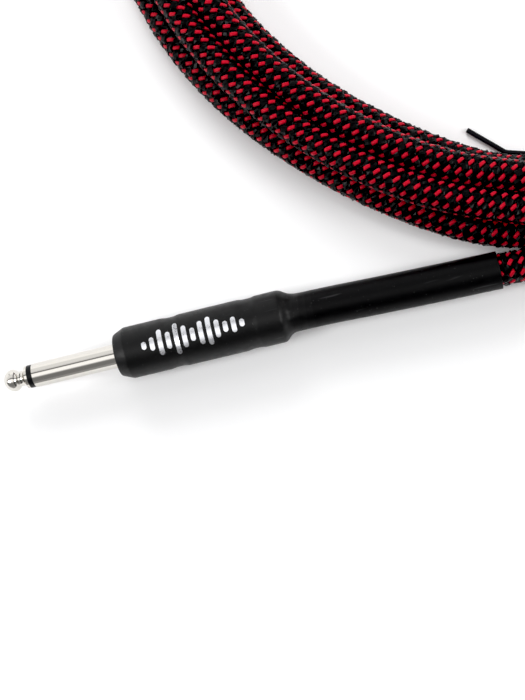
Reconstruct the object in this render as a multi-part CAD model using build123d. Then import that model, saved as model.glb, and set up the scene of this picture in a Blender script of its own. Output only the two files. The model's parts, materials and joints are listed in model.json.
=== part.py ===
from build123d import *
import os
from math import cos, degrees, hypot, radians, sin, tan

# An instrument cable: two straight 6.35 mm two-pole phone plugs on 2.74 m of shielded cord with a
# woven jacket, about 3 m from tip to tip. Millimetres, +Z up. The near plug lies along X with its
# tip towards -X and its handle on the surface z = 0. The origin is on that surface, under the
# middle of the near plug. The cord lies in an oval coil of five turns, three below and two on top.
# Each plug is drawn on its own axis, X from the tip's end to the end of its boot, then laid in place.

# Contacts: distances along the plug from the tip's end
TIP_BALL_RADIUS = 2.95
TIP_NECK_RADIUS = 1.98
TIP_SHOULDER_RADIUS = 3.0
PIN_RADIUS = 3.175
INSULATOR_START, INSULATOR_END, INSULATOR_RADIUS = 6.75, 8.1, 3.02
SLEEVE_EDGE = 0.12
ROD_RADIUS = 1.0
ROD_INSULATOR_RADIUS = 1.95
RIVET_RADIUS, RIVET_START, RIVET_END = 1.6, 42.2, 43.2
THREAD_RADIUS, THREAD_END = 4.7, 40.2
GROUND_RING_END, WASHER_END = 40.7, 41.7
WASHER_RADIUS = 3.8

# Handle: a metal barrel under a shrunk-on skin that runs on as the boot
HANDLE_RADIUS = 6.75
FACE_AT = 31.2
CHAMFER_LENGTH, CHAMFER_DEPTH = 2.9, 1.25
SKIN = 0.65
ROOT_RADIUS = 3.375                       # of the sleeve where the skin's front closes on it
COLLAR_FACE_AT, COLLAR_FACE_RADIUS = 31.85, 5.07
COLLAR_END = 34.24
BARREL_END = 74.15
BARREL_EDGE = 0.6
CAVITY_RADIUS, CAVITY_END = 5.3, 70.6
REAR_BORE_RADIUS = 4.3
GROOVE_STARTS = (44.1, 64.5)
GROOVE_DEPTH = 0.25
GROOVE_RAMP_IN, GROOVE_FLAT, GROOVE_RAMP_OUT = 1.6, 2.0, 1.1
SHOULDER_START, SHOULDER_END = 74.6, 78.9
SHOULDER_TURN = 0.35                      # where along the shoulder its curve changes sides
SHOULDER_INSIDE = ((77.6, 4.15), (76.6, 4.4), (75.4, 5.0))
BOOT_START = 79.0
BOOT_RADIUS = 4.8
BOOT_BENDS = ((12.0, -2.4), (40.0, 1.3))  # length of each arc, and degrees it turns, left positive

# Terminals behind the contacts, the solder on them, and the liner round them
TIP_RING_RADIUS, GROUND_RING_RADIUS = 2.4, 4.4
TAB_LOW, TAB_HIGH, TAB_HALF_WIDTH, TAB_END = 1.75, 2.2, 1.1, 47.0
STRAP_LOW, STRAP_HIGH, STRAP_HALF_WIDTH, STRAP_END = -4.35, -3.85, 1.9, 63.0
CLAMP_START, CLAMP_END, CLAMP_THICKNESS, CLAMP_SLIT = 58.8, 62.8, 0.5, 3.0
LINER_START, LINER_END, LINER_INNER, LINER_OUTER = 41.9, 70.4, 4.95, 5.25
TIP_SOLDER_RADIUS, TIP_SOLDER_START, TIP_SOLDER_END = 0.85, 44.9, 46.5
GROUND_SOLDER_RADIUS, GROUND_SOLDER_START, GROUND_SOLDER_END = 0.95, 49.5, 52.0
SOLDER_EDGE = 0.3

# Cord: radius of each layer, and where it is cut back to inside the handle
CONDUCTOR_RADIUS, CONDUCTOR_START = 0.45, 44.6
CORE_RADIUS, CORE_START = 1.5, 51.5
SCREEN_RADIUS, SCREEN_START = 1.75, 54.0
SHIELD_RADIUS, SHIELD_START = 2.1, 56.5
JACKET_RADIUS, JACKET_START = 3.65, 58.2
CORD_RADIUS, WOVEN_START = 4.15, 65.0
CONDUCTOR_STEP, CONDUCTOR_BEND = (46.8, 50.2, 53.0), 2.5    # leaves the tab, nears and joins the axis
PIGTAIL_RADIUS, PIGTAIL_STEP, PIGTAIL_BEND = 0.5, (57.6, 55.6, 52.8, 49.0), 1.5
PIGTAIL_CLEARANCE = 0.05

# Printed mark: a row of rounded bars on top of the handle, like a sound wave
MARK_START, MARK_PITCH, MARK_BAR_WIDTH, MARK_THICKNESS = 39.6, 2.15, 1.25, 0.06
MARK_BARS = (2.0, 3.4, 6.6, 4.4, 8.0, 5.6, 3.4, 6.0, 7.2, 4.6, 2.8, 4.0, 2.0)

# Coil: an oval, its long axis turned about Z, as the centreline of its outermost turn
COIL_CENTRE = Vector(87.0, 86.5)
COIL_LONG, COIL_SHORT, COIL_TURNED = 105.85, 77.85, -38.2
LOWER_WIDTH = 15.7                        # from the outermost lower strand's centre to the innermost's
UPPER_OUTER, UPPER_INNER, UPPER_HEIGHT = 5.5, 13.9, 11.75
INNER_SHIFT = 4.0                         # a fourth lower strand lies inside at the lower right

# Where the cord lies: hand-placed points from each boot's end to the coil, centre of the cord
NEAR_ROUTE = (
    (65.45, -1.47, 6.75), (76.3, -1.68, 6.75), (88.0, -2.1, 6.0), (99.7, -1.95, 5.35),
)
FAR_ROUTE = (
    (96.6, 4.3, 13.8), (111.0, 1.2, 13.0), (126.0, -1.6, 12.8), (141.0, -3.6, 11.2),
    (155.2, -3.2, 7.8), (168.6, 0.8, 5.2), (180.4, 8.4, 4.3), (189.6, 19.0, 4.4),
    (195.4, 31.8, 5.3), (197.4, 45.2, 6.75), (197.4, 55.6, 6.75),
)

# Tie: a coated wire round the bundle, at this angle of the oval, and its tail towards the middle
TIE_RADIUS, TIE_AT, TIE_STEP = 0.65, 303.0, 1.6
TIE_LOOP = ((29.6, 0.65), (28.2, 9.2), (18.0, 19.0), (3.6, 19.0), (-7.2, 9.6), (-7.2, 0.65))
TIE_TAIL = ((66.5, 36.6, 0.65), (74.6, 28.5, 0.65), (84.0, 25.4, 0.65))
TIE_BEND = 2.0


def turned(*points):
    """A solid turned about X, from the (distance, radius) corners of its outline."""
    return revolve(make_face(Polyline(*points, close=True)), Axis.X, 360)


def tube(outer, inner, start, end):
    """A straight tube along X."""
    return turned((start, inner), (end, inner), (end, outer), (start, outer))


def block(x_range, half_width, z_range):
    """A box centred across the plug, from its ranges along X and Z."""
    size = (x_range[1] - x_range[0], 2 * half_width, z_range[1] - z_range[0])
    centre = (sum(x_range) / 2, 0, sum(z_range) / 2)
    return Pos(*centre) * Box(*size)


def lengthwise_rod(radius, start, end, height):
    """A short rod along X with rounded ends, centred at a height over the plug's axis."""
    rod = Cylinder(radius, end - start)
    rod = fillet(rod.edges(), SOLDER_EDGE)
    return Pos((start + end) / 2, 0, height) * Rot(0, 90, 0) * rod


def wire(radius, points, bend):
    """A round wire through points, its corners bent to one radius."""
    path = FilletPolyline(*points, radius=bend)
    return sweep(Plane(origin=path @ 0, z_dir=path % 0) * Circle(radius), path)


def boot_arcs():
    """Start, heading, centre and turn of each arc of the boot's axis, then where it ends."""
    x, y, heading = BOOT_START, 0.0, 0.0
    arcs = []
    for length, turn in BOOT_BENDS:
        radius = length / radians(turn)
        centre = (x - radius * sin(heading), y + radius * cos(heading), 0)
        arcs.append(((x, y, 0), heading, centre, turn))
        heading += radians(turn)
        x, y = centre[0] + radius * sin(heading), centre[1] - radius * cos(heading)
    return arcs, Vector(x, y, 0), heading


def boot_tube(outer, inner=0.0):
    """A tube along the boot's gently bent axis."""
    pieces = []
    for start, heading, centre, turn in boot_arcs()[0]:
        section = Circle(outer) - Circle(inner) if inner else Circle(outer)
        plane = Plane(origin=start, x_dir=(0, 0, 1), z_dir=(cos(heading), sin(heading), 0))
        upright = (0, 0, 1) if turn > 0 else (0, 0, -1)
        pieces.append(revolve(plane * section, Axis(centre, upright), abs(turn)))
    return pieces[0] + pieces[1:]


def cord_layer(outer, inner, start):
    """One layer of the cord, from where it is cut back to the boot's end."""
    return tube(outer, inner, start, BOOT_START) + boot_tube(outer, inner)


def handle_outline(radius):
    """Corners along the handle's cylinder with its grooves, front to back."""
    points = []
    for start in GROOVE_STARTS:
        flat = start + GROOVE_RAMP_IN
        points += [(start, radius), (flat, radius - GROOVE_DEPTH)]
        points += [(flat + GROOVE_FLAT, radius - GROOVE_DEPTH)]
        points += [(flat + GROOVE_FLAT + GROOVE_RAMP_OUT, radius)]
    return points


def tip_contact():
    """Ball, neck and shoulder in front, and the rod that runs back to its rivet."""
    ball_nose, ball_side = (0, 0.8), (2.3, TIP_BALL_RADIUS)
    neck_front, neck_back = (4.0, TIP_NECK_RADIUS), (4.6, TIP_NECK_RADIUS)
    shoulder = (6.1, TIP_SHOULDER_RADIUS)
    outline = Polyline((0, 0), ball_nose) + ThreePointArc(ball_nose, (0.85, 2.25), ball_side)
    outline += TangentArc(ball_side, neck_front, tangent=(1, 0.05))
    outline += Polyline(neck_front, neck_back) + ThreePointArc(neck_back, (5.55, 2.3), shoulder)
    outline += Polyline(
        shoulder, (INSULATOR_START, TIP_SHOULDER_RADIUS), (INSULATOR_START, ROD_RADIUS),
        (RIVET_START, ROD_RADIUS), (RIVET_START, RIVET_RADIUS), (RIVET_END, RIVET_RADIUS),
        (RIVET_END, 0), (0, 0),
    )
    return revolve(make_face(outline), Axis.X, 360)


def sleeve_contact():
    """Bright sleeve, the collar in front of the barrel, and the threaded spigot behind it."""
    return turned(
        (INSULATOR_END, ROD_INSULATOR_RADIUS), (INSULATOR_END, PIN_RADIUS - SLEEVE_EDGE),
        (INSULATOR_END + SLEEVE_EDGE, PIN_RADIUS), (FACE_AT, PIN_RADIUS),
        (FACE_AT, ROOT_RADIUS), (COLLAR_FACE_AT, ROOT_RADIUS),
        (COLLAR_FACE_AT, COLLAR_FACE_RADIUS), (COLLAR_END, HANDLE_RADIUS - SKIN),
        (COLLAR_END, THREAD_RADIUS), (THREAD_END, THREAD_RADIUS), (THREAD_END, ROD_INSULATOR_RADIUS),
    )


def barrel():
    """The metal tube screwed on over the joints from behind."""
    radius = HANDLE_RADIUS - SKIN
    return turned(
        (COLLAR_END, THREAD_RADIUS), (COLLAR_END, radius), *handle_outline(radius),
        (BARREL_END - BARREL_EDGE, radius), (BARREL_END, radius - BARREL_EDGE),
        (BARREL_END, REAR_BORE_RADIUS), (CAVITY_END, REAR_BORE_RADIUS), (CAVITY_END, CAVITY_RADIUS),
        (THREAD_END, CAVITY_RADIUS), (THREAD_END, THREAD_RADIUS),
    )


def skin_front(lift=0.0):
    """Corners of the skin's outside from its front face to where the shoulder starts."""
    radius = HANDLE_RADIUS + lift
    return [
        (FACE_AT, radius - CHAMFER_DEPTH), (FACE_AT + CHAMFER_LENGTH, radius),
        *handle_outline(radius), (SHOULDER_START, radius),
    ]


def shrink_boot():
    """The skin over collar and barrel, its shoulder, and the boot that supports the cord."""
    inner = HANDLE_RADIUS - SKIN
    drop = HANDLE_RADIUS - BOOT_RADIUS
    middle = (
        SHOULDER_START + SHOULDER_TURN * (SHOULDER_END - SHOULDER_START),
        HANDLE_RADIUS - SHOULDER_TURN * drop,
    )
    outline = Polyline((FACE_AT, ROOT_RADIUS), *skin_front())
    outline += TangentArc((SHOULDER_START, HANDLE_RADIUS), middle, tangent=(1, 0))
    outline += TangentArc((SHOULDER_END, BOOT_RADIUS), middle, tangent=(-1, 0))
    outline += Polyline(
        (SHOULDER_END, BOOT_RADIUS), (BOOT_START, BOOT_RADIUS), (BOOT_START, CORD_RADIUS),
        *SHOULDER_INSIDE, (BARREL_END, inner - BARREL_EDGE),
        (BARREL_END - BARREL_EDGE, inner), *reversed(handle_outline(inner)),
        (COLLAR_END, inner), (COLLAR_FACE_AT, COLLAR_FACE_RADIUS),
        (COLLAR_FACE_AT, ROOT_RADIUS), (FACE_AT, ROOT_RADIUS),
    )
    return revolve(make_face(outline), Axis.X, 360) + boot_tube(BOOT_RADIUS, CORD_RADIUS)


def print_mark():
    """Thin raised bars that follow the handle's surface, each its own solid."""
    film = turned(*skin_front(MARK_THICKNESS), *reversed(skin_front()))
    bars = []
    for number, length in enumerate(MARK_BARS):
        bar = extrude(SlotOverall(length, MARK_BAR_WIDTH, rotation=90), HANDLE_RADIUS + 1)
        bars.append(film & (Pos(MARK_START + number * MARK_PITCH, 0, 0) * bar))
    return Compound(children=[solid for bar in bars for solid in bar.solids()])


def tip_terminal():
    """The tab that the centre conductor is soldered to, on a ring held by the rod's rivet."""
    ring = tube(TIP_RING_RADIUS, ROD_RADIUS, WASHER_END, RIVET_START)
    return ring + block((WASHER_END, TAB_END), TAB_HALF_WIDTH, (TAB_LOW, TAB_HIGH))


def ground_terminal():
    """A ring behind the sleeve's spigot, a strap along the barrel and a clamp on the cord."""
    ring = tube(GROUND_RING_RADIUS, ROD_INSULATOR_RADIUS, THREAD_END, GROUND_RING_END)
    strap = block((THREAD_END, STRAP_END), STRAP_HALF_WIDTH, (STRAP_LOW, STRAP_HIGH))
    strap -= tube(JACKET_RADIUS, 0, CLAMP_START - 1, STRAP_END + 1)
    clamp_outer = JACKET_RADIUS + CLAMP_THICKNESS
    clamp = tube(clamp_outer, JACKET_RADIUS, CLAMP_START, CLAMP_END)
    clamp -= block((CLAMP_START - 1, CLAMP_END + 1), CLAMP_SLIT / 2, (0, clamp_outer + 1))
    return ring + strap + clamp


def centre_conductor():
    """The core wire, stepped up from the axis to the tip terminal's tab."""
    rise = TAB_LOW - CONDUCTOR_RADIUS
    leaves_tab, near_axis, on_axis = CONDUCTOR_STEP
    route = ((CONDUCTOR_START, 0, rise), (leaves_tab, 0, rise), (near_axis, 0, 0), (on_axis, 0, 0))
    step = wire(CONDUCTOR_RADIUS, route, CONDUCTOR_BEND)
    return step + tube(CONDUCTOR_RADIUS, 0, on_axis, BOOT_START) + boot_tube(CONDUCTOR_RADIUS)


def pigtail():
    """The shield's wires gathered into one tail that lies on the ground strap."""
    rest = STRAP_HIGH + PIGTAIL_RADIUS + PIGTAIL_CLEARANCE
    start = -SCREEN_RADIUS - PIGTAIL_RADIUS - PIGTAIL_CLEARANCE
    heights = (start, start, rest, rest)
    route = [(x, 0, height) for x, height in zip(PIGTAIL_STEP, heights)]
    return wire(PIGTAIL_RADIUS, route, PIGTAIL_BEND)


def plug_parts():
    """Every piece of one plug, by name, on the plug's own axis."""
    conductor, tab, strap, tail = centre_conductor(), tip_terminal(), ground_terminal(), pigtail()
    on_tab, on_strap = TAB_LOW - CONDUCTOR_RADIUS, STRAP_HIGH + PIGTAIL_RADIUS
    tip_solder = lengthwise_rod(TIP_SOLDER_RADIUS, TIP_SOLDER_START, TIP_SOLDER_END, on_tab)
    ground_solder = lengthwise_rod(
        GROUND_SOLDER_RADIUS, GROUND_SOLDER_START, GROUND_SOLDER_END, on_strap
    )
    return {
        "tip_contact": tip_contact(),
        "tip_insulator": tube(INSULATOR_RADIUS, ROD_RADIUS, INSULATOR_START, INSULATOR_END),
        "rod_insulator": tube(ROD_INSULATOR_RADIUS, ROD_RADIUS, INSULATOR_END, GROUND_RING_END),
        "sleeve_contact": sleeve_contact(),
        "rear_washer": tube(WASHER_RADIUS, ROD_RADIUS, GROUND_RING_END, WASHER_END),
        "tip_terminal": tab,
        "ground_terminal": strap,
        "barrel": barrel(),
        "barrel_liner": tube(LINER_OUTER, LINER_INNER, LINER_START, LINER_END),
        "shrink_boot": shrink_boot(),
        "print_mark": print_mark(),
        "tip_solder": tip_solder - conductor - tab,
        "ground_solder": ground_solder - tail - strap,
        "centre_conductor": conductor,
        "core_insulation": cord_layer(CORE_RADIUS, CONDUCTOR_RADIUS, CORE_START),
        "conductive_layer": cord_layer(SCREEN_RADIUS, CORE_RADIUS, SCREEN_START),
        "spiral_shield": cord_layer(SHIELD_RADIUS, SCREEN_RADIUS, SHIELD_START) + tail,
        "inner_jacket": cord_layer(JACKET_RADIUS, SHIELD_RADIUS, JACKET_START),
        "woven_jacket": cord_layer(CORD_RADIUS, JACKET_RADIUS, WOVEN_START),
    }


def oval(inset, shift=0.0):
    """The coil's outline in plan, moved inwards by inset and along its long axis by shift."""
    place = Pos(COIL_CENTRE) * Rot(0, 0, COIL_TURNED) * Pos(-shift, 0)
    return place * Ellipse(COIL_LONG - inset - shift, COIL_SHORT - inset)


def coil():
    """The outer shape of all the turns: a wide lower ring with a narrower one on top."""
    lower = oval(-CORD_RADIUS) - oval(LOWER_WIDTH + CORD_RADIUS, INNER_SHIFT)
    upper = oval(UPPER_OUTER - CORD_RADIUS) - oval(UPPER_INNER + CORD_RADIUS)
    top = UPPER_HEIGHT + CORD_RADIUS
    return extrude(lower, 2 * CORD_RADIUS) + extrude(upper, top)


def cord_run(name, points):
    """A round cord through points: straight runs joined by arcs as large as the runs allow."""
    points = [Vector(*point) for point in points]
    runs = [after - before for before, after in zip(points, points[1:])]
    radii = []
    for first, second in zip(runs, runs[1:]):
        half_turn = radians(first.get_angle(second)) / 2
        radii.append(0.45 * min(first.length, second.length) / tan(half_turn))
    path = FilletPolyline(*points, radius=radii)
    solid = sweep(Plane(origin=path @ 0, z_dir=path % 0) * Circle(CORD_RADIUS), path)
    expected = Circle(CORD_RADIUS).area * path.length
    print(name, "radii", [round(radius) for radius in radii], "length", round(path.length, 1))
    print(name, "volume over section times length", round(solid.volume / expected, 4))
    return solid


def tie():
    """The tie's tail on the surface, then one loop round the bundle square to its strands."""
    angle, turn = radians(TIE_AT), radians(COIL_TURNED)
    x, y = COIL_LONG * cos(angle), COIL_SHORT * sin(angle)
    inward = (-COIL_SHORT * cos(angle), -COIL_LONG * sin(angle))
    inward = tuple(part / hypot(*inward) for part in inward)
    loop = []
    for number, (inset, height) in enumerate(TIE_LOOP + TIE_LOOP[:1]):
        along = TIE_STEP * number / len(TIE_LOOP)
        local_x = x + inset * inward[0] + along * inward[1]
        local_y = y + inset * inward[1] - along * inward[0]
        loop.append((
            COIL_CENTRE.X + local_x * cos(turn) - local_y * sin(turn),
            COIL_CENTRE.Y + local_x * sin(turn) + local_y * cos(turn),
            height,
        ))
    return wire(TIE_RADIUS, TIE_TAIL + tuple(loop), TIE_BEND)


def main():
    os.makedirs("parts", exist_ok=True)
    _, boot_end, heading = boot_arcs()
    middle = (boot_end.X + BOOT_RADIUS * abs(sin(heading))) / 2
    near_place = Pos(-middle, 0, HANDLE_RADIUS)
    # the far plug points along +Y, with the end of its boot where the cord's route ends
    far_turn = -90.0 - degrees(heading)
    far_end = Pos(*FAR_ROUTE[-1]) * Rot(0, 0, far_turn)
    far_place = far_end * Pos(-boot_end.X, -boot_end.Y, 0)
    print("near boot ends at", near_place * Pos(*boot_end), "heading", round(degrees(heading), 2))
    nodes = {}
    for prefix, place in (("near", near_place), ("far", far_place)):
        for name, solid in plug_parts().items():
            nodes[f"{prefix}_{name}"] = place * solid
    nodes["cord_near_run"] = cord_run("cord_near_run", NEAR_ROUTE)
    nodes["cord_far_run"] = cord_run("cord_far_run", FAR_ROUTE)
    nodes["cord_coil"] = coil()
    nodes["coil_tie"] = tie()
    for name, solid in nodes.items():
        export_step(solid, f"parts/{name}.step")


main()
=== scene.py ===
"""The looks of an instrument cable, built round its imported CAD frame.

Lengths are written in millimetres and turned into metres where an object is made.
"""
import json
from math import cos, exp, pi, radians, sin

import bpy
import numpy as np
from mathutils import Matrix, Vector
from mathutils.noise import noise as noise_at


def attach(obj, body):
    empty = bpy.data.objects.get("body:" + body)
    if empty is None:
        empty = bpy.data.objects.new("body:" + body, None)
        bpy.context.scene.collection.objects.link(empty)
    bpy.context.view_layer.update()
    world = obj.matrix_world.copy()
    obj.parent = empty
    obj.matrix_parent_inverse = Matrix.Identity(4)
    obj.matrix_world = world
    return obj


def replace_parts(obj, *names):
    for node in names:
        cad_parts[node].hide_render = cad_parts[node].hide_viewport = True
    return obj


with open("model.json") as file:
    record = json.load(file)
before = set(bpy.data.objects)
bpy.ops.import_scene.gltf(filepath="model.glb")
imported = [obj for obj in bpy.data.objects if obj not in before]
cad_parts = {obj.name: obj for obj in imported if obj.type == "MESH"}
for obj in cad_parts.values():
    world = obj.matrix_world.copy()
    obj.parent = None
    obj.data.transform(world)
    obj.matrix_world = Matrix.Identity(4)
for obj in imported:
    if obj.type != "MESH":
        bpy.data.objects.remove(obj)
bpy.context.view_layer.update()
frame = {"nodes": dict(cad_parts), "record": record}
MM = 0.001
random = np.random.default_rng(7)

# ---------------------------------------------------------------- sizes, as in the CAD
AXIS_HEIGHT = 6.75                          # of a plug's axis over the surface it lies on
PLUG_MIDDLE = 65.54                         # from the tip's end to the origin, along the near plug
FACE_AT, ROOT_RADIUS = 31.2, 3.375
CHAMFER_LENGTH, CHAMFER_DEPTH = 2.9, 1.25
HANDLE_RADIUS, SKIN = 6.75, 0.65
COLLAR_FACE_AT, COLLAR_FACE_RADIUS, COLLAR_END = 31.85, 5.07, 34.24
GROOVES = ((44.1, 45.7, 47.7, 48.8), (64.5, 66.1, 68.1, 69.2))
GROOVE_DEPTH = 0.25
SHOULDER_START, SHOULDER_END, SHOULDER_TURN = 74.6, 78.9, 0.35
SHOULDER_INSIDE = ((77.6, 4.15), (76.6, 4.4), (75.4, 5.0), (74.15, 5.5), (73.55, 6.1))
BOOT_START, BOOT_RADIUS, BOOT_INNER = 79.0, 4.8, 4.15
BOOT_BENDS = ((12.0, -2.4), (40.0, 1.3))    # length of each arc, and degrees it turns, left positive
BOOT_END = BOOT_START + sum(length for length, _ in BOOT_BENDS)

# ---------------------------------------------------------------- the cord's route
NEAR_ROUTE = ((65.45, -1.47, 6.75), (76.3, -1.9, 6.75), (88.0, -2.9, 6.0))
FAR_ROUTE = (
    (111.0, 1.2, 13.0), (126.0, -1.6, 12.8), (141.0, -3.6, 11.2), (155.2, -3.2, 7.8),
    (168.6, 0.8, 5.2), (180.4, 8.4, 4.3), (189.6, 19.0, 4.4), (195.4, 31.8, 5.3),
    (197.4, 45.2, 6.75), (197.4, 55.6, 6.75),
)
COIL_CENTRE = (87.0, 86.5)
COIL_LONG, COIL_SHORT, COIL_TURNED = 105.85, 77.85, radians(-38.2)
COIL_FROM, COIL_TO, COIL_STEP = -52, 1738, 10      # degrees round the oval
FLOOR_HEIGHT = 4.15                         # of the cord's centre where it lies on the floor
# each move happens between two angles and changes the inset, or the height, by an amount
LOWER_LAPS = (0, 360, 720)                  # each lower lap sways inwards and back in the same place
SWAY_IN, SWAY_BACK = (235, 266, 0.7), (270, 286, -0.7)
MOVES_IN = (
    *((start + lap, end + lap, change) for lap in LOWER_LAPS for start, end, change in (SWAY_IN, SWAY_BACK)),
    (288, 311, 7.9), (648, 671, 7.8), (1008, 1031, 8.4), (1062, 1165, -10.2),
    (1280, 1330, -2.2), (1354, 1374, 2.1), (1415, 1460, -8.4),
    (1640, 1690, -1.3), (1714, 1732, 1.7),
)
MOVES_UP = (
    (1036, 1100, 8.4), (1140, 1180, -0.8),
    (1290, 1330, 0.6), (1362, 1378, 0.2), (1452, 1472, -0.8), (1722, 1738, 0.8),
)
TIE_AT, TIE_LIFT, TIE_REACH = 303, 1.35, 16        # the turns rise over the tie's wire, near its angle
LINE_STEP = 0.9                             # between the points that the yarns follow

# ---------------------------------------------------------------- the woven jacket
CARRIERS = 8                                # yarns each way
LAY = 21.6                                  # along the cord for one turn of a yarn
WEAVE_PITCH = LAY / CARRIERS
WEAVE_RADIUS, WEAVE_RISE, RED_SUNK = 3.64, 0.27, 0.12
WAVE_FLATNESS = 1.6                         # how long a yarn stays on top before it dips
CORE_RADIUS = 3.4
RED_WIDTH, BLACK_WIDTH, YARN_THICKNESS = 0.95, 2.1, 0.5
WIDTH_POWER, THICKNESS_POWER = 0.75, 0.85   # below 1 makes a yarn's section squarer than an oval
YARN_SWING = 0.3                            # how much steeper a yarn runs where it lies on top
WEAVE_TURN = radians(22.5)
# the weave wanders round the cord in slow waves: how far, length over 2 pi, and phase
WEAVE_WANDERS = ((radians(11), 47.0, 0.0), (radians(8), 19.0, 1.0))
FILAMENT_DEPTH = 0.04                       # of the furrows along a yarn, as a share of its section
BLACK_FUZZ = 0.115                          # how far the black yarns' filaments stray
FINE_X, FINE_Y = 90.0, 98.0                 # the jacket is finest where both x and y are less
# steps from crossing to crossing, and points round a yarn
FIRST_DETAIL, FINE_DETAIL, PLAIN_DETAIL = (7, 8), (8, 10), (6, 6)


def ease(share):
    """A smooth step from 0 to 1."""
    share = min(max(share, 0.0), 1.0)
    return share * share * (3 - 2 * share)


def total(moves, angle):
    """What a list of moves has added up to by an angle."""
    return sum(change * ease((angle - start) / (end - start)) for start, end, change in moves)


def coil_point(angle):
    """The cord's centre at an angle counted in degrees round the oval, over all its turns."""
    turn = radians(angle)
    from_tie = abs((angle - TIE_AT + 180) % 360 - 180)
    inset = total(MOVES_IN, angle)
    height = FLOOR_HEIGHT + total(MOVES_UP, angle) + TIE_LIFT * ease(1 - from_tie / TIE_REACH)
    inward = Vector((-COIL_SHORT * cos(turn), -COIL_LONG * sin(turn))).normalized()
    local = Vector((COIL_LONG * cos(turn), COIL_SHORT * sin(turn))) + inset * inward
    x = COIL_CENTRE[0] + local.x * cos(COIL_TURNED) - local.y * sin(COIL_TURNED)
    y = COIL_CENTRE[1] + local.x * sin(COIL_TURNED) + local.y * cos(COIL_TURNED)
    return x, y, height


def cord_curve():
    """The cord's own line, one smooth spline from boot to boot."""
    coil = [coil_point(angle) for angle in range(COIL_FROM, COIL_TO + 1, COIL_STEP)]
    points = [*NEAR_ROUTE, *coil, *FAR_ROUTE]
    curve = bpy.data.curves.new("cord_core", "CURVE")
    curve.dimensions = "3D"
    curve.resolution_u = 12
    spline = curve.splines.new("NURBS")
    spline.points.add(len(points) - 1)
    for place, point in zip(spline.points, points):
        place.co = (*(Vector(point) * MM), 1.0)
    spline.order_u = 3
    spline.use_endpoint_u = True
    piece = bpy.data.objects.new("cord_core", curve)
    bpy.context.collection.objects.link(piece)
    return piece


def read_line(piece, spacing):
    """The points of a curve's own line, in millimetres, about evenly spaced along it."""
    bpy.context.view_layer.update()
    mesh = bpy.data.meshes.new_from_object(piece)
    line = np.array([vertex.co for vertex in mesh.vertices]) / MM
    bpy.data.meshes.remove(mesh)
    along = np.concatenate([[0], np.cumsum(np.linalg.norm(np.diff(line, axis=0), axis=1))])
    places = np.linspace(0, along[-1], int(along[-1] / spacing) + 1)
    return places, np.stack([np.interp(places, along, line[:, axis]) for axis in range(3)], 1)


def unit(vectors):
    """Each vector at a length of one."""
    return vectors / np.linalg.norm(vectors, axis=-1, keepdims=True)


def across(line):
    """At each point of a line, the directions up from it and to its right."""
    forward = unit(np.gradient(line, axis=0))
    up = unit(np.array([0.0, 0.0, 1.0]) - forward * forward[:, 2:3])
    return up, np.cross(forward, up)


def closed_tubes(name, rings, smooth):
    """One mesh of closed tubes, from an array of tubes, rings along each and points round each."""
    tubes, rows, points, _ = rings.shape
    corner = np.arange(tubes * rows * points).reshape(tubes, rows, points)
    here, ahead = corner[:, :-1], corner[:, 1:]
    sides = np.stack([here, np.roll(here, -1, 2), np.roll(ahead, -1, 2), ahead], -1)
    ends = np.concatenate([corner[:, 0, ::-1], corner[:, -1]])
    loops = np.concatenate([sides.ravel(), ends.ravel()])
    side_count = sides.size // 4
    starts = np.concatenate([
        np.arange(side_count) * 4,
        side_count * 4 + np.arange(len(ends)) * points,
    ])
    return mesh_piece(name, rings.reshape(-1, 3), loops, starts, smooth)


def mesh_piece(name, places, loops, starts, smooth=True):
    """A mesh object from points in millimetres and the corners of its faces, face after face."""
    mesh = bpy.data.meshes.new(name)
    mesh.vertices.add(len(places))
    mesh.vertices.foreach_set("co", (places * MM).astype(np.float32).ravel())
    mesh.loops.add(len(loops))
    mesh.loops.foreach_set("vertex_index", loops.astype(np.int32))
    mesh.polygons.add(len(starts))
    mesh.polygons.foreach_set("loop_start", starts.astype(np.int32))
    mesh.polygons.foreach_set("use_smooth", np.full(len(starts), smooth))
    mesh.update(calc_edges=True)
    mesh.validate()
    piece = bpy.data.objects.new(name, mesh)
    bpy.context.collection.objects.link(piece)
    return piece


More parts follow.
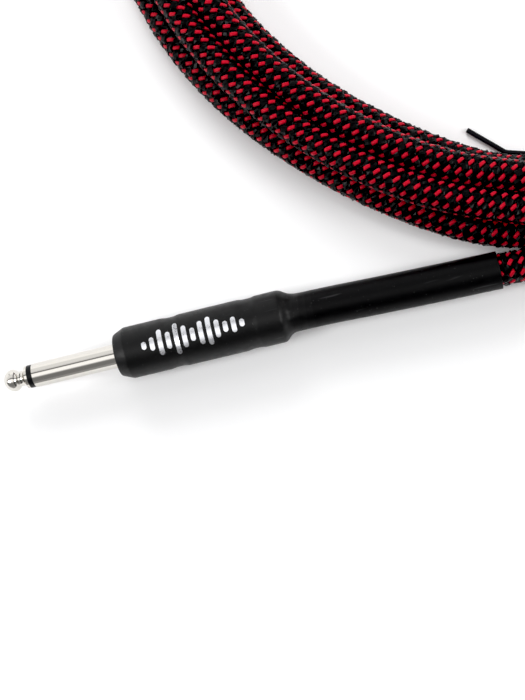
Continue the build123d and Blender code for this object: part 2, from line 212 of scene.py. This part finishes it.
def yarn_rings(cord, start, end, samples, points, way, width, fuzz):
    """Rings of the yarns that turn one way round the cord, over and under the others."""
    places, line, up, right = cord
    spots = np.linspace(start, end, int((end - start) / WEAVE_PITCH * samples) + 1)

    def at(values):
        return np.stack([np.interp(spots, places, values[:, axis]) for axis in range(3)], 1)

    middle, up, right = at(line), unit(at(up)), unit(at(right))
    wave = np.tanh(WAVE_FLATNESS * np.cos(2 * pi * spots / WEAVE_PITCH)) / np.tanh(WAVE_FLATNESS)
    out = WEAVE_RADIUS - way * WEAVE_RISE * wave - (RED_SUNK if way < 0 else 0.0)
    swing = -YARN_SWING * WEAVE_PITCH / LAY * np.sin(2 * pi * spots / WEAVE_PITCH)
    twist = WEAVE_TURN
    for reach, length, phase in WEAVE_WANDERS:
        twist = twist + reach * np.sin(spots / length + phase)
    turn = np.linspace(0, 2 * pi, points, endpoint=False)
    section = np.stack([
        width / 2 * np.sign(np.cos(turn)) * np.abs(np.cos(turn)) ** WIDTH_POWER,
        YARN_THICKNESS / 2 * np.sign(np.sin(turn)) * np.abs(np.sin(turn)) ** THICKNESS_POWER,
    ])
    section *= 1 + FILAMENT_DEPTH * (-1) ** np.arange(points)
    tubes = []
    for number in range(CARRIERS):
        angle = 2 * pi * number / CARRIERS + way * 2 * pi * spots / LAY + swing + twist
        radial = np.cos(angle)[:, None] * up + np.sin(angle)[:, None] * right
        centre = middle + out[:, None] * radial
        along = unit(np.gradient(centre, axis=0))
        normal = unit(radial - np.sum(radial * along, 1)[:, None] * along)
        side = np.cross(normal, along)
        rings = centre[:, None] + section[0][:, None] * side[:, None] + section[1][:, None] * normal[:, None]
        rings += fuzz * random.standard_normal(rings.shape)
        rings[..., 2] = np.maximum(rings[..., 2], 0.0)      # nothing sinks below the floor
        tubes.append(rings)
    return np.array(tubes)


# ---------------------------------------------------------------- materials
def new_material(name, **values):
    """A material and its shader, with numbers and colours set on the shader's own sockets."""
    material = bpy.data.materials.new(name)
    material.use_nodes = True
    shader = material.node_tree.nodes["Principled BSDF"]
    for word, value in values.items():
        socket = shader.inputs[word.replace("_", " ").title().replace("Ior", "IOR")]
        socket.default_value = (*value, 1.0) if isinstance(value, tuple) else value
    return material, material.node_tree, shader


def add_node(tree, kind, **settings):
    """A shader node with its settings, each its own property or else an input's value."""
    node = tree.nodes.new(kind)
    for word, value in settings.items():
        if hasattr(node, word):
            setattr(node, word, value)
        else:
            node.inputs[word.replace("_", " ").title()].default_value = value
    return node


def noise(tree, scale, detail=3.0, stretch=(1, 1, 1)):
    """Noise over the object's own metres; stretch scales each axis."""
    place = add_node(tree, "ShaderNodeTexCoord")
    mapping = add_node(tree, "ShaderNodeMapping", scale=stretch)
    texture = add_node(tree, "ShaderNodeTexNoise", scale=scale, detail=detail)
    tree.links.new(place.outputs["Object"], mapping.inputs["Vector"])
    tree.links.new(mapping.outputs["Vector"], texture.inputs["Vector"])
    return texture.outputs["Fac"]


def spread(tree, value, low, high, into_low, into_high):
    """A value moved from one range to another, held inside it."""
    node = add_node(tree, "ShaderNodeMapRange", clamp=True)
    for socket, number in zip(node.inputs[1:5], (low, high, into_low, into_high)):
        socket.default_value = number
    tree.links.new(value, node.inputs["Value"])
    return node.outputs["Result"]


def mixed(tree, share, first, second):
    """A colour between two, each a colour or another mix."""
    node = add_node(tree, "ShaderNodeMix", data_type="RGBA")
    tree.links.new(share, node.inputs[0])
    for socket, colour in zip(node.inputs[6:8], (first, second)):
        if isinstance(colour, tuple):
            socket.default_value = (*colour, 1.0)
        else:
            tree.links.new(colour, socket)
    return node.outputs[2]


def bump(tree, shader, height, distance, strength):
    """Relief on the surface, distance in metres."""
    node = add_node(tree, "ShaderNodeBump", distance=distance, strength=strength)
    tree.links.new(height, node.inputs["Height"])
    tree.links.new(node.outputs["Normal"], shader.inputs["Normal"])


def nickel():
    """Bright plating with a few duller patches."""
    material, tree, shader = new_material("nickel", base_color=(0.71, 0.685, 0.64), metallic=1.0)
    dull = spread(tree, noise(tree, 900), 0.35, 0.75, 0.05, 0.11)
    tree.links.new(dull, shader.inputs["Roughness"])
    return material


HANDLE_GLOSS, BOOT_GLOSS, GLOSS_STEPS = 0.30, 0.14, 6     # the boot is blacker than the handle


def skin_material(name, gloss):
    """Shrunk-on sleeving: charcoal, fine-grained, with dust specks and long faint scratches."""
    material, tree, shader = new_material(name, specular_ior_level=gloss)
    patches = mixed(tree, noise(tree, 160), (0.0016, 0.0016, 0.0018), (0.0030, 0.0030, 0.0033))
    specks = spread(tree, noise(tree, 2600, 1.0), 0.745, 0.79, 0.0, 1.0)
    dusty = mixed(tree, specks, patches, (0.05, 0.05, 0.05))
    scratches = spread(tree, noise(tree, 900, 2.0, (0.08, 1, 1)), 0.70, 0.76, 0.0, 1.0)
    tree.links.new(mixed(tree, scratches, dusty, (0.02, 0.02, 0.021)), shader.inputs["Base Color"])
    tree.links.new(spread(tree, noise(tree, 700), 0.3, 0.7, 0.36, 0.50), shader.inputs["Roughness"])
    bump(tree, shader, noise(tree, 5200, 4.0), 0.00003, 0.6)
    return material


def silver_print():
    """Foil with a mottled shine."""
    material, tree, shader = new_material("silver_print", base_color=(0.88, 0.89, 0.93), metallic=1.0)
    tree.links.new(spread(tree, noise(tree, 1800), 0.3, 0.7, 0.24, 0.36), shader.inputs["Roughness"])
    bump(tree, shader, noise(tree, 1500, 3.0), 0.00004, 0.5)
    return material


def yarn_red():
    """Bright red thread with a little sheen."""
    return new_material(
        "yarn_red", base_color=(0.46, 0.0012, 0.015), roughness=0.4, specular_ior_level=0.14,
        sheen_weight=0.35, sheen_roughness=0.45, sheen_tint=(1.0, 0.35, 0.50),
    )[0]


def yarn_black():
    """Black thread with a faint gloss."""
    return new_material(
        "yarn_black", base_color=(0.0015, 0.0015, 0.0018), roughness=0.28, specular_ior_level=0.1,
    )[0]


def cord_black():
    """The dull core that shows in the gaps between the yarns."""
    return new_material("cord_black", base_color=(0.004, 0.004, 0.0045), roughness=0.8)[0]


def worked_metal(name, colour, low, high):
    """A metal inside the plug, its dullness uneven."""
    material, tree, shader = new_material(name, base_color=colour, metallic=1.0)
    tree.links.new(spread(tree, noise(tree, 900), 0.3, 0.7, low, high), shader.inputs["Roughness"])
    return material


def moulded(name, colour, low, high, scale=1500, gloss=0.5):
    """A plastic, its roughness uneven between low and high."""
    material, tree, shader = new_material(name, base_color=colour, specular_ior_level=gloss)
    tree.links.new(spread(tree, noise(tree, scale), 0.3, 0.7, low, high), shader.inputs["Roughness"])
    return material


MATERIALS = {
    "nickel": nickel(),
    "insulator": moulded("insulator", (0.005, 0.005, 0.006), 0.25, 0.4, scale=2500, gloss=0.2),
    "brass": worked_metal("brass", (0.70, 0.52, 0.26), 0.25, 0.4),
    "solder": worked_metal("solder", (0.60, 0.60, 0.62), 0.2, 0.45),
    "barrel": worked_metal("barrel", (0.10, 0.10, 0.11), 0.4, 0.55),
    "liner": moulded("liner", (0.70, 0.66, 0.55), 0.35, 0.5),
    "skin": skin_material("skin", HANDLE_GLOSS),
    "silver_print": silver_print(),
    "copper": worked_metal("copper", (0.78, 0.40, 0.25), 0.2, 0.35),
    "core_white": moulded("core_white", (0.80, 0.80, 0.78), 0.35, 0.5),
    "conductive_plastic": moulded("conductive_plastic", (0.03, 0.03, 0.03), 0.5, 0.7),
    "cord_black": cord_black(),
    "yarn_red": yarn_red(),
    "yarn_black": yarn_black(),
    "tie_plastic": moulded("tie_plastic", (0.003, 0.003, 0.005), 0.3, 0.45, gloss=0.15),
}
BOOT_MATERIALS = [
    skin_material(f"boot_{number}", HANDLE_GLOSS + (BOOT_GLOSS - HANDLE_GLOSS) * number / GLOSS_STEPS)
    for number in range(1, GLOSS_STEPS + 1)
]


def finish_piece(piece, slot):
    """Gives a piece its material and its slot, and lets it ride on the object's one body."""
    piece.data.materials.clear()
    piece.data.materials.append(MATERIALS[slot])
    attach(piece, "root")


# ---------------------------------------------------------------- the CAD nodes' materials
for part in frame["record"]["subparts"]:
    node = frame["nodes"][part["node"]]
    for place in node.material_slots:
        place.material = MATERIALS[part["material_slot"]]


# ---------------------------------------------------------------- the skin and boot of each plug
SKIN_STEP, SKIN_POINTS = 0.35, 96           # between rings, and points in a ring
# how far corners are rounded, at these distances from the outline's nearer end
SOFTNESS_AT, SOFTNESS = (0, 6, 9), (0.1, 0.14, 0.3)
SOFTNESS_STEP = 0.05                        # between the points that a rounded corner is averaged from
SHOULDER_SLANT, SLANT_REACH = 0.8, 3.5      # how much further back the shoulder lies on the plug's left
DARKENS_OVER = (74.0, 84.0)                 # from the handle's gloss to the boot's
# waves in the skin: height, and grain along and across the plug; the folds gather round the shoulder
SLOW_WAVES, QUICK_WAVES, FOLDS = (0.022, 9.0, 5.0), (0.008, 2.2, 2.0), (0.16, 3.5, 2.6)
FOLDS_AT, FOLDS_REACH = 77.2, 2.6
# a dimple on top and the ridge behind it: height, place and reach, and their turn from the plug's left
DIMPLE, RIDGE = (-0.34, 77.0, 1.5), (0.16, 79.6, 1.0)
DIMPLE_TURN, DIMPLE_SPREAD = radians(75), 0.75
# how far the skin may stand out in front of the folds' middle, and how much more per millimetre behind it
MOST_OUT, MORE_BEHIND = 0.02, 0.1


def boot_place(distance):
    """Where the boot's axis is, sideways, and its heading, at a distance from the tip's end."""
    x, y, heading = min(distance, BOOT_START), 0.0, 0.0
    left = distance - x
    for length, turned in BOOT_BENDS:
        part = min(left, length)
        radius = length / radians(turned)
        end = heading + part / radius
        x += radius * (sin(end) - sin(heading))
        y += radius * (cos(heading) - cos(end))
        heading = end
        left -= part
    return x, y, heading


def bell(value, middle, reach):
    """1 at the middle, falling away smoothly on both sides."""
    return exp(-(((value - middle) / reach) ** 2))


def groove_corners(radius):
    """Corners of both grooves, cut into a radius."""
    return [
        (place, radius - depth)
        for groove in GROOVES for place, depth in zip(groove, (0, GROOVE_DEPTH, GROOVE_DEPTH, 0))
    ]


def shoulder_point(share):
    """A point of the shoulder, part of the way down it: it curves outwards, then inwards."""
    if share < SHOULDER_TURN:
        fallen = share**2 / SHOULDER_TURN
    else:
        fallen = 1 - (1 - share) ** 2 / (1 - SHOULDER_TURN)
    place = SHOULDER_START + share * (SHOULDER_END - SHOULDER_START)
    return place, HANDLE_RADIUS - (HANDLE_RADIUS - BOOT_RADIUS) * fallen


def skin_outline():
    """Corners of the skin's section: along its outside to the boot's end and back along its inside."""
    shoulder = [shoulder_point(share) for share in np.linspace(0.1, 0.9, 9)]
    inner = HANDLE_RADIUS - SKIN
    outside = [
        (FACE_AT, ROOT_RADIUS), (FACE_AT, HANDLE_RADIUS - CHAMFER_DEPTH),
        (FACE_AT + CHAMFER_LENGTH, HANDLE_RADIUS), *groove_corners(HANDLE_RADIUS),
        (SHOULDER_START, HANDLE_RADIUS), *shoulder, (BOOT_START, BOOT_RADIUS), (BOOT_END, BOOT_RADIUS),
    ]
    inside = [
        (BOOT_END, BOOT_INNER), (BOOT_START, BOOT_INNER), *SHOULDER_INSIDE,
        *reversed(groove_corners(inner)), (COLLAR_END, inner),
        (COLLAR_FACE_AT, COLLAR_FACE_RADIUS), (COLLAR_FACE_AT, ROOT_RADIUS),
    ]
    return outside, inside


def softened(corners):
    """The outside as closely spaced points, its corners rounded."""
    corners = np.array(corners)
    along = np.concatenate([[0], np.cumsum(np.linalg.norm(np.diff(corners, axis=0), axis=1))])
    spots = np.unique(np.concatenate([np.arange(0, along[-1], SKIN_STEP), along]))
    fine_spots = np.arange(0, along[-1], SOFTNESS_STEP)
    fine = np.stack([np.interp(fine_spots, along, corners[:, axis]) for axis in range(2)], 1)
    rows = []
    for spot in spots:
        to_end = min(spot, along[-1] - spot)
        softness = min(np.interp(to_end, SOFTNESS_AT, SOFTNESS), max(to_end, 0.01) / 2)
        weight = np.exp(-0.5 * ((fine_spots - spot) / softness) ** 2)
        rows.append((weight[:, None] * fine).sum(0) / weight.sum())
    rows[0], rows[-1] = corners[0], corners[-1]
    return rows


def waves(form, distance, turn, seeds):
    """Random waves over the handle's surface, of one height and grain."""
    height, along, across = form
    spot = (distance / along, HANDLE_RADIUS * cos(turn) / across, HANDLE_RADIUS * sin(turn) / across)
    return height * noise_at(Vector([part + seed for part, seed in zip(spot, seeds)]))


def unevenness(distance, turn, seed):
    """How far the shrunk skin stands out from its round form, most of all round the shoulder."""
    facing = bell((turn - DIMPLE_TURN + pi) % (2 * pi) - pi, 0, DIMPLE_SPREAD)
    offset = waves(SLOW_WAVES, distance, turn, (seed, 0, 0))
    offset += waves(QUICK_WAVES, distance, turn, (0, seed, 0))
    offset += waves(FOLDS, distance, turn, (0, 0, seed)) * bell(distance, FOLDS_AT, FOLDS_REACH)
    for height, middle, reach in (DIMPLE, RIDGE):
        offset += height * bell(distance, middle, reach) * facing
    return min(offset, MOST_OUT + MORE_BEHIND * max(distance - FOLDS_AT, 0.0))


def skin_mesh(name, place, seed):
    """One closed skin with its boot, laid in place; it loses its gloss from the shoulder on."""
    outside, inside = skin_outline()
    rings = [(*row, 1.0) for row in softened(outside)] + [(*corner, 0.0) for corner in inside]
    points = []
    for distance, radius, uneven in rings:
        x, y, heading = boot_place(distance)
        slant = uneven * SHOULDER_SLANT * bell(distance, SHOULDER_END, SLANT_REACH)
        for number in range(SKIN_POINTS):
            turn = 2 * pi * number / SKIN_POINTS
            out = radius + uneven * unevenness(distance, turn, seed)
            left = out * cos(turn)
            back = slant * cos(turn)
            spot = (x + back - left * sin(heading), y + left * cos(heading), out * sin(turn))
            points.append(place @ Vector(spot))
    corner = np.arange(len(points)).reshape(len(rings), SKIN_POINTS)
    ahead = np.roll(corner, -1, 0)
    faces = np.stack([corner, np.roll(corner, -1, 1), np.roll(ahead, -1, 1), ahead], -1).reshape(-1, 4)
    piece = mesh_piece(name, np.array(points), faces.ravel(), np.arange(len(faces)) * 4)
    finish_piece(piece, "skin")
    for material in BOOT_MATERIALS:
        piece.data.materials.append(material)
    steps = [np.interp(distance, DARKENS_OVER, (0, GLOSS_STEPS)).round() for distance, _, _ in rings]
    piece.data.polygons.foreach_set("material_index", np.repeat(steps, SKIN_POINTS).astype(np.int32))
    return piece


def skins():
    """The skin of each plug, the far one laid so that its boot ends where the cord's route does."""
    x, y, heading = boot_place(BOOT_END)
    near = Matrix.Translation((-PLUG_MIDDLE, 0, AXIS_HEIGHT))
    far = Matrix.Translation(FAR_ROUTE[-1]) @ Matrix.Rotation(-pi / 2 - heading, 4, "Z")
    far = far @ Matrix.Translation((-x, -y, 0))
    for name, place, seed in (("near", near, 0.0), ("far", far, 31.0)):
        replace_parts(skin_mesh(f"{name}_skin", place, seed), f"{name}_shrink_boot")


skins()

# ---------------------------------------------------------------- the cord and its jacket
cord_core = cord_curve()
places, line = read_line(cord_core, LINE_STEP)
up, right = across(line)
cord_core.data.bevel_depth = CORE_RADIUS * MM
cord_core.data.bevel_resolution = 6
cord_core.data.use_fill_caps = True
finish_piece(cord_core, "cord_black")
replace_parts(cord_core, "cord_near_run", "cord_far_run", "cord_coil")
cord = places, line, up, right

# the jacket is made in stretches; the first ends where the cord comes back to the fine part of the coil,
# and the black yarns stay unsmoothed, so that their filaments catch the light
jacket = []
fine = (line[:, 0] < FINE_X) & (line[:, 1] < FINE_Y)
changes = np.flatnonzero(np.diff(fine.astype(int))) + 1
edges = [0, *changes[1:], len(places) - 1]
for number, (first, last) in enumerate(zip(edges, edges[1:])):
    if number == 0:
        samples, points = FIRST_DETAIL
    else:
        samples, points = FINE_DETAIL if fine[first] else PLAIN_DETAIL
    for slot, way, width, fuzz in (
        ("yarn_red", -1, RED_WIDTH, 0.0), ("yarn_black", 1, BLACK_WIDTH, BLACK_FUZZ)
    ):
        rings = yarn_rings(cord, places[first], places[last], samples, points, way, width, fuzz)
        jacket.append(closed_tubes(f"{slot}_{number:02d}", rings, smooth=way < 0))
        finish_piece(jacket[-1], slot)

# ---------------------------------------------------------------- floor, light and camera
FLOOR_REACH, FLOOR_DROP = 6.0, 0.00002      # metres from its middle to each side, and below the object
floor_mesh = bpy.data.meshes.new("floor")
floor_corners = [(x * FLOOR_REACH, y * FLOOR_REACH, 0) for x, y in ((-1, -1), (1, -1), (1, 1), (-1, 1))]
floor_mesh.from_pydata(floor_corners, [], [(0, 1, 2, 3)])
floor = bpy.data.objects.new("floor", floor_mesh)
bpy.context.collection.objects.link(floor)
floor.location.z = -FLOOR_DROP
floor_material, _, _ = new_material("floor", base_color=(0.93, 0.93, 0.935), roughness=0.9)
floor.data.materials.append(floor_material)


# what the studio shows overhead, by the angle from straight up in degrees, towards +Y positive
STUDIO = (
    (-180, 1.1), (-92, 1.1), (-88, 0.42), (-70, 0.40), (-64, 0.27), (-31, 0.27), (-24, 0.6),
    (-16, 1.6), (10, 1.6),
    (13, 0.5), (15, 0.2), (20, 0.2), (24, 0.8), (34, 1.15), (60, 1.15), (66, 1.5), (86, 1.5),
    (94, 1.15), (180, 1.15),
)
# and how much of that is left, by the share of the direction that lies along the plug's axis
FLAGS = (
    (-1.0, 1.0), (-0.62, 1.0), (-0.57, 0.1), (-0.45, 0.1), (-0.40, 1.0),
    (0.40, 1.0), (0.46, 0.1), (0.60, 0.1), (0.66, 1.0), (1.0, 1.0),
)
STUDIO_STRENGTH, BACKDROP = 0.86, (0.72, 0.72, 0.73)


def grey_stops(ramp, values):
    """Sets a ramp's greys, each made at its own place; the first and last are already there."""
    stops = ramp.color_ramp.elements
    for place, light in values:
        stop = {0.0: stops[0], 1.0: stops[-1]}.get(place) or stops.new(place)
        stop.color = (light, light, light, 1.0)


def studio():
    """A softbox overhead, a dark gap and a white wall behind, a grey room in front, and two dark flags."""
    world = bpy.data.worlds.new("studio")
    world.use_nodes = True
    tree = world.node_tree
    background = tree.nodes["Background"]
    place = add_node(tree, "ShaderNodeTexCoord")
    split = add_node(tree, "ShaderNodeSeparateXYZ")
    angle = add_node(tree, "ShaderNodeMath", operation="ARCTAN2")
    ramp = add_node(tree, "ShaderNodeValToRGB")
    tree.links.new(place.outputs["Generated"], split.inputs[0])
    tree.links.new(split.outputs["Y"], angle.inputs[0])
    tree.links.new(split.outputs["Z"], angle.inputs[1])
    tree.links.new(spread(tree, angle.outputs[0], -pi, pi, 0.0, 1.0), ramp.inputs[0])
    grey_stops(ramp, [((degree + 180) / 360, light) for degree, light in STUDIO])
    flags = add_node(tree, "ShaderNodeValToRGB")
    tree.links.new(spread(tree, split.outputs["X"], -1.0, 1.0, 0.0, 1.0), flags.inputs[0])
    grey_stops(flags, [((share + 1) / 2, light) for share, light in FLAGS])
    product = add_node(tree, "ShaderNodeMix", data_type="RGBA", blend_type="MULTIPLY")
    product.inputs[0].default_value = 1.0
    tree.links.new(ramp.outputs["Color"], product.inputs[6])
    tree.links.new(flags.outputs["Color"], product.inputs[7])
    tree.links.new(product.outputs[2], background.inputs["Color"])
    background.inputs["Strength"].default_value = STUDIO_STRENGTH
    # past the floor's edge the camera sees a plain backdrop
    backdrop = add_node(tree, "ShaderNodeBackground")
    backdrop.inputs["Color"].default_value = (*BACKDROP, 1.0)
    either = add_node(tree, "ShaderNodeMixShader")
    ray = add_node(tree, "ShaderNodeLightPath")
    tree.links.new(ray.outputs["Is Camera Ray"], either.inputs[0])
    tree.links.new(background.outputs[0], either.inputs[1])
    tree.links.new(backdrop.outputs[0], either.inputs[2])
    tree.links.new(either.outputs[0], tree.nodes["World Output"].inputs["Surface"])
    bpy.context.scene.world = world


LIGHTS_AIM = Vector((0.03, 0, 0))           # metres, as the lights' own places and sizes


def soft_light(name, place, size, energy, in_gloss=True):
    """A round soft light that looks at the near plug."""
    light = bpy.data.lights.new(name, "AREA")
    light.shape = "DISK"
    light.size = size
    light.energy = energy
    lamp = bpy.data.objects.new(name, light)
    lamp.location = place
    lamp.visible_glossy = in_gloss
    lamp.rotation_euler = (LIGHTS_AIM - lamp.location).to_track_quat("-Z", "Y").to_euler()
    bpy.context.collection.objects.link(lamp)


BLACK_LEVEL = 0.006                         # of the view; deepens the darkest tones
CAMERA_AT = Vector((40.3, -40.5, 333.6))
CAMERA_AIM = Vector((1.9, -6.65, 0.0))
CAMERA_ROLL = radians(-12.7)
CAMERA_LENS = 66.4


def camera():
    """Looks down at the plug from in front, rolled so that the plug rises to the right."""
    back = (CAMERA_AT - CAMERA_AIM).normalized()
    level = Vector((0, 1, 0)).cross(back).normalized()
    upright = back.cross(level)
    side = cos(CAMERA_ROLL) * level + sin(CAMERA_ROLL) * upright
    top = cos(CAMERA_ROLL) * upright - sin(CAMERA_ROLL) * level
    data = bpy.data.cameras.new("camera")
    data.lens = CAMERA_LENS
    data.clip_start = 0.01
    piece = bpy.data.objects.new("camera", data)
    turn = Matrix((side, top, back)).transposed()
    piece.matrix_world = Matrix.Translation(CAMERA_AT * MM) @ turn.to_4x4()
    bpy.context.collection.objects.link(piece)
    bpy.context.scene.camera = piece


studio()
soft_light("left_light", (-0.95, -0.10, 0.9), 0.45, 5.2)
soft_light("right_light", (1.05, -0.15, 0.9), 0.45, 5.2)
soft_light("back_light", (-0.05, 1.4, 0.74), 0.8, 15.0, in_gloss=False)
camera()
view = bpy.context.scene.view_settings
view.view_transform = "Standard"
view.use_curve_mapping = True
view.curve_mapping.black_level = (BLACK_LEVEL, BLACK_LEVEL, BLACK_LEVEL)
view.curve_mapping.update()
